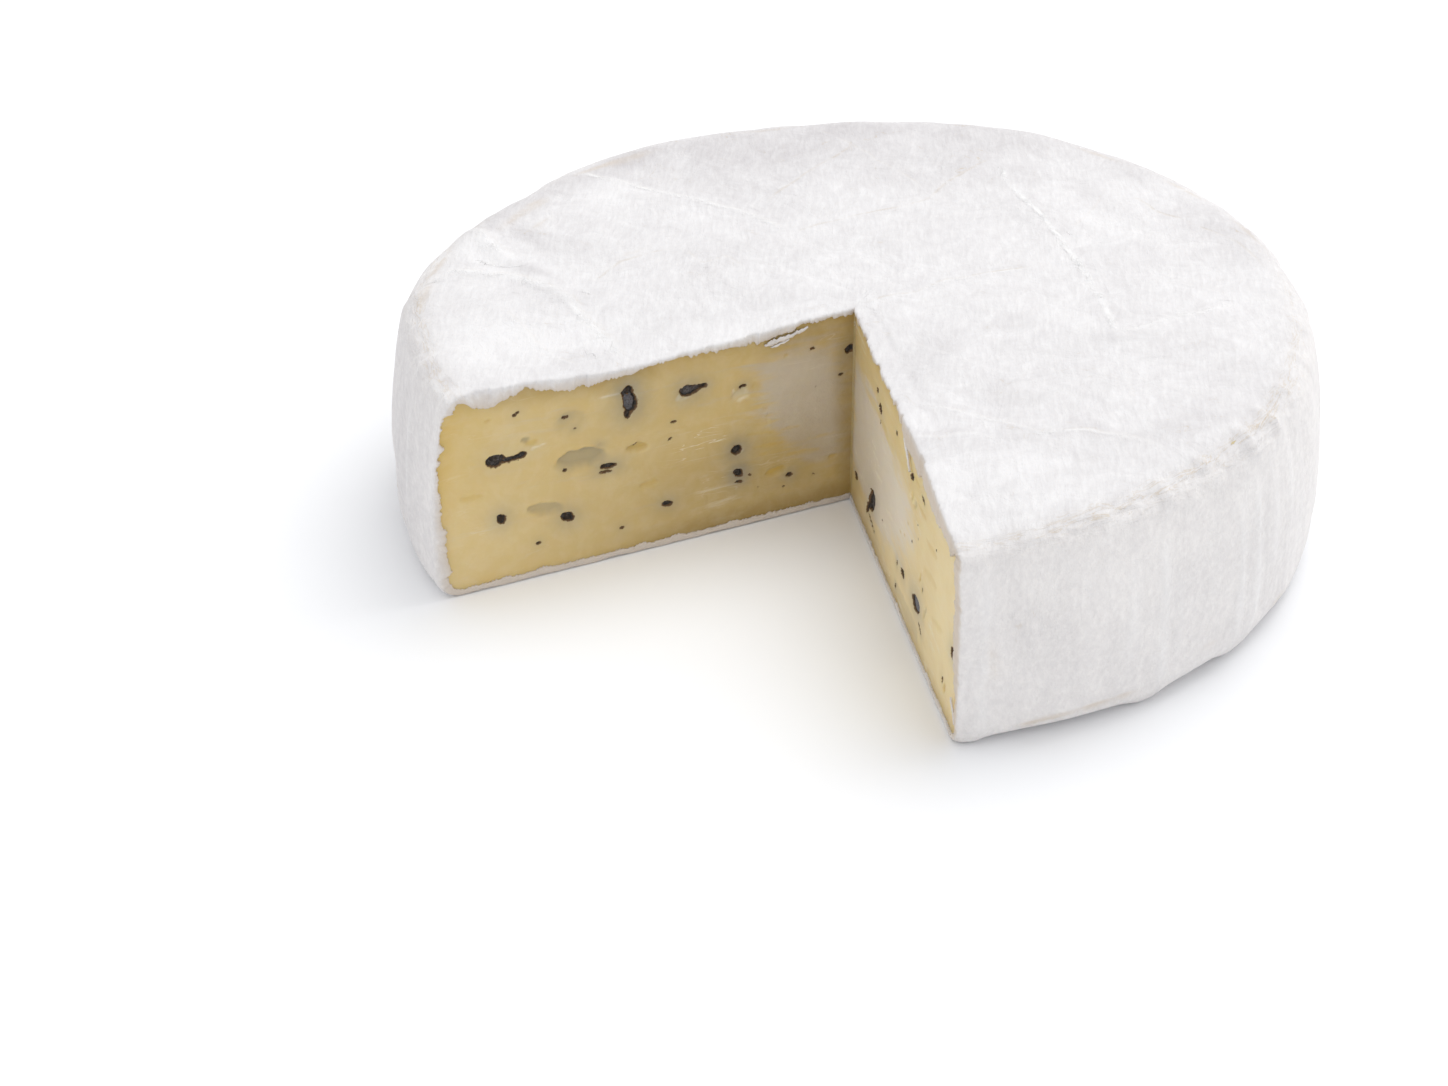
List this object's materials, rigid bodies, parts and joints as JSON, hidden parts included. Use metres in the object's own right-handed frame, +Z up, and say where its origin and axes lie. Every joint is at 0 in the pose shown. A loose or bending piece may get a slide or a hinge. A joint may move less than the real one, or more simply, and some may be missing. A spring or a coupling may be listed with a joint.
{
  "type": "soft white-rind cheese wheel",
  "caption": "Low round soft cheese with a downy white rind, lying flat, with one wedge cut out that shows pale yellow paste and dark mould pits.",
  "frame": {"origin": "the wheel's centre on its flat base", "axes": "+Z up out of the top, -Y towards the open notch, +X to the right of someone facing the notch"},
  "size_m": [0.2379, 0.2404, 0.0583],
  "materials": {
    "rind": "matt, downy and slightly fibrous white mould rind",
    "paste": "moist, slightly glossy pale yellow paste, chalky in the middle",
    "mould": "dark grey-blue mould, dull"
  },
  "bodies": {
    "root": {"cheese_wheel": "rind"}
  },
  "joints": []
}
